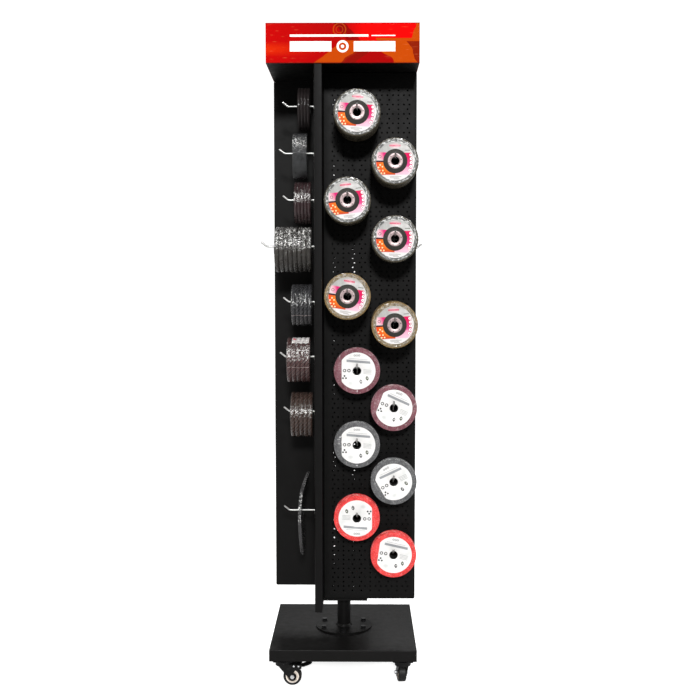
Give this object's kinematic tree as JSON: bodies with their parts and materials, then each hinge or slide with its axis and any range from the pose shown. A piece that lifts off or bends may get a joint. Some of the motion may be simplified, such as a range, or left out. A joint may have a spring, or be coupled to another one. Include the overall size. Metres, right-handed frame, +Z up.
{
  "type": "rotating pegboard display stand",
  "caption": "Free-standing pinwheel pegboard display: black perforated panels turn round a post on a square caster base, with a square header box and wire hooks holding disc packs.",
  "frame": {"origin": "floor level on the post's axis, in the middle of the base", "axes": "+Z up along the post, -Y towards the front panel's viewer, +X to that viewer's right"},
  "size_m": [0.4514, 0.4514, 1.7715],
  "materials": {
    "black_powder_coat": "fine-textured satin powder coat",
    "zinc_plate": "bright zinc plate",
    "black_bolts": "black oxide",
    "cap_plastic": "moulded black polyethylene",
    "bronze": "sintered bronze",
    "caster_housing": "black stove enamel",
    "wheel_plastic": "moulded cream nylon",
    "tyre_rubber": "matte black tread",
    "printed_graphic": "gloss print, red with orange patches",
    "hook_wire": "bright zinc-plated wire",
    "grey_abrasive": "overlapping abrasive cloth in shrink film",
    "tan_abrasive": "overlapping tan abrasive cloth in shrink film",
    "maroon_fibre": "vulcanised fibre with maroon grit",
    "grey_fibre": "vulcanised fibre with grey grit",
    "red_fibre": "vulcanised fibre with red grit",
    "dark_abrasive": "resin-bonded abrasive in shrink film",
    "brown_abrasive": "brown abrasive cloth in shrink film"
  },
  "bodies": {
    "base": {"base_tray": "black_powder_coat", "base_rails": "black_powder_coat", "deck_stiffener": "black_powder_coat", "caster_plates": "zinc_plate", "caster_kingpins": "zinc_plate", "caster_balls": "zinc_plate", "caster_bolts": "zinc_plate", "post_flange": "black_powder_coat", "flange_bolts": "black_bolts", "post": "black_powder_coat", "post_cap": "cap_plastic", "stop_collar": "black_powder_coat", "collar_screw": "zinc_plate", "thrust_washer": "bronze"},
    "carousel": {"panel_front": "black_powder_coat", "panel_left": "black_powder_coat", "panel_back": "black_powder_coat", "panel_right": "black_powder_coat", "fin_covers": "black_powder_coat", "bottom_plate": "black_powder_coat", "lower_hub": "black_powder_coat", "lower_bush": "bronze", "upper_hub": "black_powder_coat", "upper_bush": "bronze", "m5_screws": "zinc_plate", "header_box": "black_powder_coat", "header_lid": "black_powder_coat", "header_graphics": "printed_graphic", "header_bolts": "zinc_plate", "short_hooks": "hook_wire", "medium_hooks": "hook_wire", "long_hooks": "hook_wire", "grey_flap_packs": "grey_abrasive", "tan_flap_packs": "tan_abrasive", "maroon_fibre_packs": "maroon_fibre", "grey_fibre_packs": "grey_fibre", "red_fibre_packs": "red_fibre", "slim_disc_packs": "dark_abrasive", "grey_side_packs": "grey_abrasive", "brown_side_packs": "brown_abrasive", "large_disc_packs": "dark_abrasive"},
    "caster_fl": {"fork_fl": "caster_housing", "axle_fl": "zinc_plate"},
    "wheel_fl": {"wheel_core_fl": "wheel_plastic", "tyre_fl": "tyre_rubber"},
    "pedal_fl": {"brake_pedal_fl": "caster_housing"},
    "caster_fr": {"fork_fr": "caster_housing", "axle_fr": "zinc_plate"},
    "wheel_fr": {"wheel_core_fr": "wheel_plastic", "tyre_fr": "tyre_rubber"},
    "pedal_fr": {"brake_pedal_fr": "caster_housing"},
    "caster_rl": {"fork_rl": "caster_housing", "axle_rl": "zinc_plate"},
    "wheel_rl": {"wheel_core_rl": "wheel_plastic", "tyre_rl": "tyre_rubber"},
    "caster_rr": {"fork_rr": "caster_housing", "axle_rr": "zinc_plate"},
    "wheel_rr": {"wheel_core_rr": "wheel_plastic", "tyre_rr": "tyre_rubber"}
  },
  "joints": [
    {"name": "carousel_turn", "type": "hinge", "parent": "base", "child": "carousel", "pos_m": [0, 0, 0.9], "axis": [0, 0, 1], "continuous": true},
    {"name": "swivel_fl", "type": "hinge", "parent": "base", "child": "caster_fl", "pos_m": [-0.1635, -0.1635, 0.065], "axis": [0, 0, 1], "continuous": true},
    {"name": "roll_fl", "type": "hinge", "parent": "caster_fl", "child": "wheel_fl", "pos_m": [-0.1385, -0.1635, 0.025], "axis": [0, 1, 0], "continuous": true},
    {"name": "brake_fl", "type": "hinge", "parent": "caster_fl", "child": "pedal_fl", "pos_m": [-0.1495, -0.1635, 0.0535], "axis": [0, 1, 0], "range_deg": [0, 9]},
    {"name": "swivel_fr", "type": "hinge", "parent": "base", "child": "caster_fr", "pos_m": [0.1635, -0.1635, 0.065], "axis": [0, 0, 1], "continuous": true},
    {"name": "roll_fr", "type": "hinge", "parent": "caster_fr", "child": "wheel_fr", "pos_m": [0.16089, -0.13864, 0.025], "axis": [-0.9945, -0.1045, 0], "continuous": true},
    {"name": "brake_fr", "type": "hinge", "parent": "caster_fr", "child": "pedal_fr", "pos_m": [0.16204, -0.14958, 0.0535], "axis": [-0.9945, -0.1045, 0], "range_deg": [0, 9]},
    {"name": "swivel_rl", "type": "hinge", "parent": "base", "child": "caster_rl", "pos_m": [-0.1635, 0.1635, 0.065], "axis": [0, 0, 1], "continuous": true},
    {"name": "roll_rl", "type": "hinge", "parent": "caster_rl", "child": "wheel_rl", "pos_m": [-0.151, 0.18515, 0.025], "axis": [-0.866, 0.5, 0], "continuous": true},
    {"name": "swivel_rr", "type": "hinge", "parent": "base", "child": "caster_rr", "pos_m": [0.1635, 0.1635, 0.065], "axis": [0, 0, 1], "continuous": true},
    {"name": "roll_rr", "type": "hinge", "parent": "caster_rr", "child": "wheel_rr", "pos_m": [0.14916, 0.18398, 0.025], "axis": [-0.8192, -0.5736, 0], "continuous": true}
  ]
}
